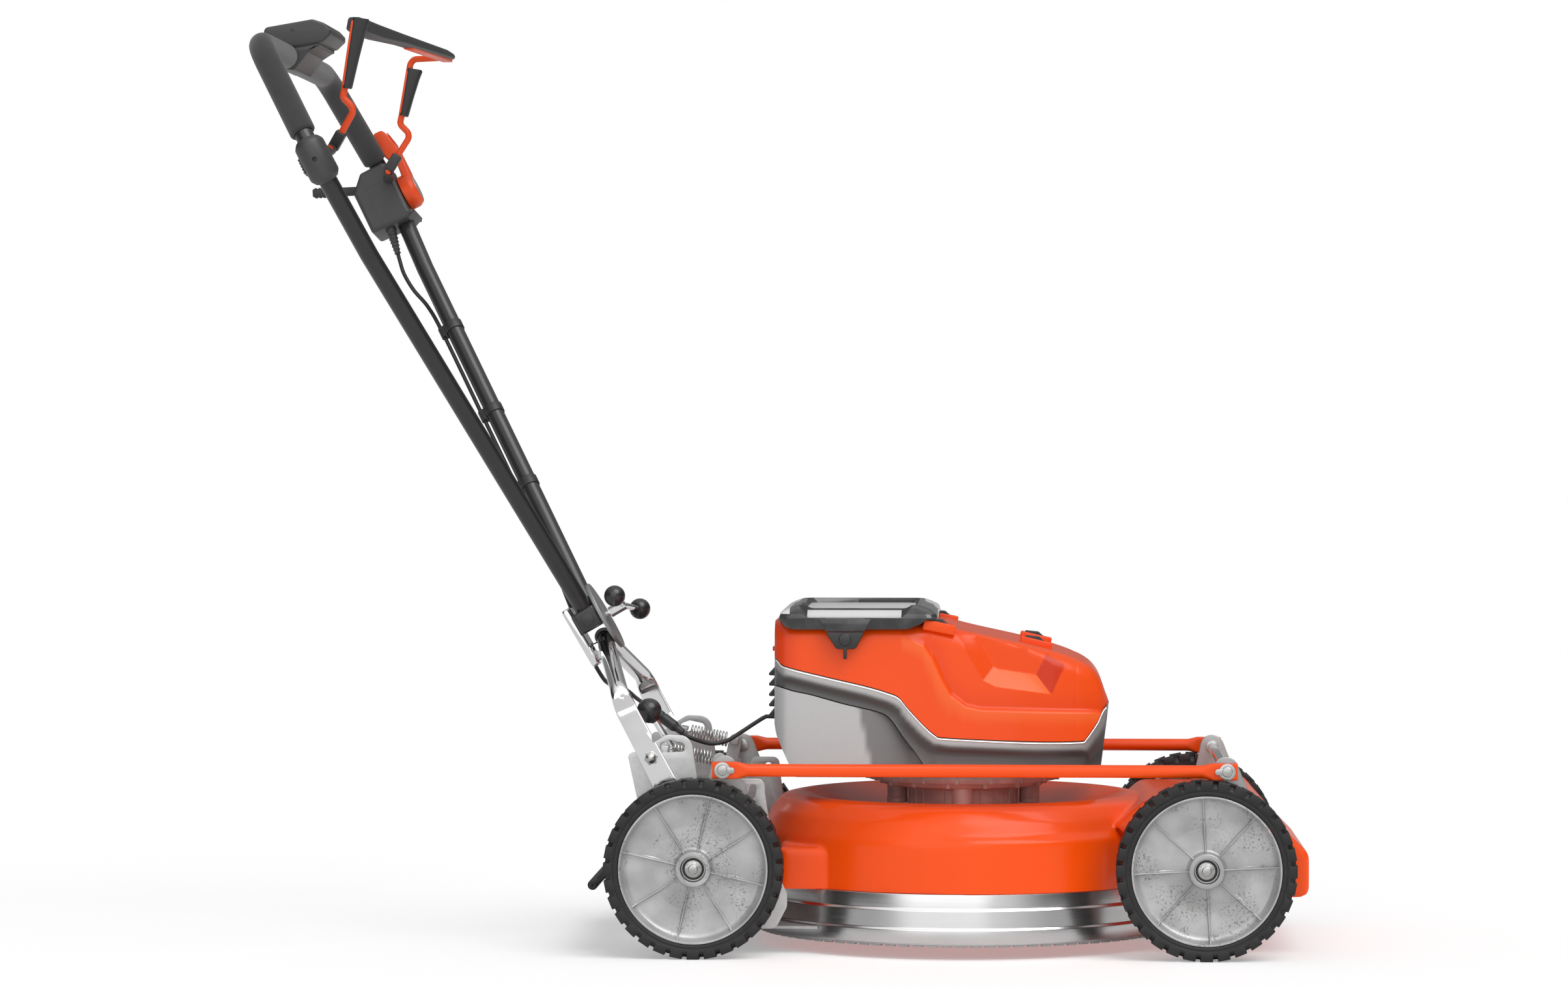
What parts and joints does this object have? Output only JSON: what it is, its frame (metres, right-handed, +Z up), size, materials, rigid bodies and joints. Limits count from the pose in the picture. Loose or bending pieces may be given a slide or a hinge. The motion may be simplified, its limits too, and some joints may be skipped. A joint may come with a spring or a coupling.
{
  "type": "lawn mower",
  "caption": "Cordless walk-behind lawn mower with orange housing on a round steel deck, lugged wheels, V-shaped tube handle with foam grips, bail and clamping joint",
  "frame": {"origin": "on the ground below the middle of the whole machine", "axes": "+X to the mower's front, +Y to its left-hand side, +Z up"},
  "size_m": [1.252, 0.7016, 1.1116],
  "materials": {
    "orange_paint": "gloss",
    "bright_steel": "brushed",
    "chrome": "polished",
    "grey_sheet": "satin",
    "cast_metal": "matte",
    "copper_winding": "satin",
    "silver_plastic": "satin",
    "grey_plastic": "matte",
    "black_plastic": "satin",
    "black_tube": "satin",
    "white_plastic": "gloss",
    "red_plastic": "gloss",
    "foam": "foam",
    "black_rubber": "matte",
    "tyre_rubber": "matte"
  },
  "bodies": {
    "chassis": {"deck_shell": "orange_paint", "skirt_band": "bright_steel", "motor_housing": "cast_metal", "stator": "copper_winding", "lower_shell": "grey_plastic", "side_band": "silver_plastic", "hood": "orange_paint", "rear_grille": "black_plastic", "battery_bay": "black_plastic", "controller": "cast_metal", "side_plate_right": "grey_sheet", "side_plate_left": "grey_sheet", "rear_floor": "grey_sheet", "lead_lower": "black_rubber"},
    "rotor": {"rotor_shaft": "bright_steel", "blade_adapter": "cast_metal", "blade": "bright_steel", "blade_bolt": "bright_steel"},
    "flap": {"rear_flap": "black_rubber"},
    "lid": {"lid_frame": "black_plastic", "lid_panel": "white_plastic"},
    "latch": {"lid_latch": "black_plastic"},
    "pack_right": {"battery_right": "black_plastic"},
    "pack_left": {"battery_left": "black_plastic"},
    "rear_cranks": {"rear_axle": "grey_sheet", "height_lever": "bright_steel", "height_knob": "black_plastic", "lift_spring_right": "bright_steel", "lift_spring_left": "bright_steel"},
    "front_cranks": {"front_axle": "grey_sheet"},
    "rod_right": {"height_rod_right": "orange_paint"},
    "rod_left": {"height_rod_left": "orange_paint"},
    "fold_frame": {"a_frame": "chrome", "swivel_disc": "grey_sheet", "lead_middle": "black_rubber", "connector": "black_plastic"},
    "handle": {"handle_tube": "black_tube", "grip_right": "foam", "grip_left": "foam", "console": "black_plastic", "collar_right": "black_plastic", "control_box": "black_plastic", "lead_upper": "black_rubber"},
    "bail": {"bail_wire": "red_plastic", "bail_cover_right": "black_plastic", "bail_cover_left": "black_plastic"},
    "lever": {"speed_lever": "red_plastic"},
    "knob": {"tension_knob": "bright_steel"},
    "wheel_front_right": {"tyre_front_right": "tyre_rubber", "rim_front_right": "silver_plastic", "wheel_bearing_front_right": "bright_steel"},
    "wheel_rear_right": {"tyre_rear_right": "tyre_rubber", "rim_rear_right": "silver_plastic", "wheel_bearing_rear_right": "bright_steel"},
    "wheel_front_left": {"tyre_front_left": "tyre_rubber", "rim_front_left": "silver_plastic", "wheel_bearing_front_left": "bright_steel"},
    "wheel_rear_left": {"tyre_rear_left": "tyre_rubber", "rim_rear_left": "silver_plastic", "wheel_bearing_rear_left": "bright_steel"}
  },
  "joints": [
    {"name": "rotor_spin", "type": "hinge", "parent": "chassis", "child": "rotor", "pos_m": [0.215, 0, 0.15], "axis": [0, 0, 1], "continuous": true},
    {"name": "flap_swing", "type": "hinge", "parent": "chassis", "child": "flap", "pos_m": [-0.156, 0, 0.13], "axis": [0, 1, 0], "range_deg": [0, 60]},
    {"name": "lid_open", "type": "hinge", "parent": "chassis", "child": "lid", "pos_m": [0.09125, 0.14, 0.392], "axis": [-1, 0, 0], "range_deg": [0, 95]},
    {"name": "latch_swing", "type": "hinge", "parent": "lid", "child": "latch", "pos_m": [0.0764, -0.1553, 0.378], "axis": [-1, 0, 0], "range_deg": [0, 60]},
    {"name": "rear_crank", "type": "hinge", "parent": "chassis", "child": "rear_cranks", "pos_m": [-0.023, 0, 0.115], "axis": [0, -1, 0], "range_deg": [0, 24], "deforming": ["lift_spring_right", "lift_spring_left"]},
    {"name": "front_crank", "type": "hinge", "parent": "chassis", "child": "front_cranks", "pos_m": [0.565, 0, 0.115], "axis": [0, -1, 0], "range_deg": [0, 24]},
    {"name": "rod_right_turn", "type": "hinge", "parent": "rear_cranks", "child": "rod_right", "pos_m": [-0.064, -0.234, 0.22], "axis": [0, -1, 0], "range_deg": [-24, 0]},
    {"name": "rod_left_turn", "type": "hinge", "parent": "rear_cranks", "child": "rod_left", "pos_m": [-0.064, 0.234, 0.22], "axis": [0, -1, 0], "range_deg": [-24, 0]},
    {"name": "wheel_rear_right_spin", "type": "hinge", "parent": "rear_cranks", "child": "wheel_rear_right", "pos_m": [-0.098, -0.231, 0.105], "axis": [0, 1, 0], "continuous": true},
    {"name": "wheel_rear_left_spin", "type": "hinge", "parent": "rear_cranks", "child": "wheel_rear_left", "pos_m": [-0.098, 0.231, 0.105], "axis": [0, 1, 0], "continuous": true},
    {"name": "wheel_front_right_spin", "type": "hinge", "parent": "front_cranks", "child": "wheel_front_right", "pos_m": [0.5, -0.231, 0.105], "axis": [0, 1, 0], "continuous": true},
    {"name": "wheel_front_left_spin", "type": "hinge", "parent": "front_cranks", "child": "wheel_front_left", "pos_m": [0.5, 0.231, 0.105], "axis": [0, 1, 0], "continuous": true},
    {"name": "pack_right_lift", "type": "slide", "parent": "chassis", "child": "pack_right", "axis": [0, 0, 1], "range_m": [0, 0.022]},
    {"name": "pack_left_lift", "type": "slide", "parent": "chassis", "child": "pack_left", "axis": [0, 0, 1], "range_m": [0, 0.022]},
    {"name": "frame_fold", "type": "hinge", "parent": "chassis", "child": "fold_frame", "pos_m": [-0.1209, 0, 0.1756], "axis": [0, 1, 0], "range_deg": [-20, 30], "deforming": ["lead_lower"]},
    {"name": "handle_swivel", "type": "hinge", "parent": "fold_frame", "child": "handle", "pos_m": [-0.221, 0, 0.391], "axis": [0.8643, 0, 0.503], "range_deg": [-20, 20], "deforming": ["lead_middle"]},
    {"name": "knob_turn", "type": "hinge", "parent": "fold_frame", "child": "knob", "pos_m": [-0.221, 0, 0.391], "axis": [0.8643, 0, 0.503], "continuous": true},
    {"name": "bail_close", "type": "hinge", "parent": "handle", "child": "bail", "pos_m": [-0.5185, 0, 0.944], "axis": [0, 1, 0], "range_deg": [-16, 0], "stiffness_Nm_per_rad": 0.6, "springref_deg": 17.19},
    {"name": "speed_lever_turn", "type": "hinge", "parent": "handle", "child": "lever", "pos_m": [-0.50499, 0.32, 0.91743], "axis": [0.8912, 0, 0.4536], "range_deg": [-25, 25]}
  ],
  "couplings": [
    {"joint": "front_crank", "follows": "rear_crank", "ratio": 1},
    {"joint": "rod_right_turn", "follows": "rear_crank", "ratio": -1},
    {"joint": "rod_left_turn", "follows": "rear_crank", "ratio": -1}
  ]
}
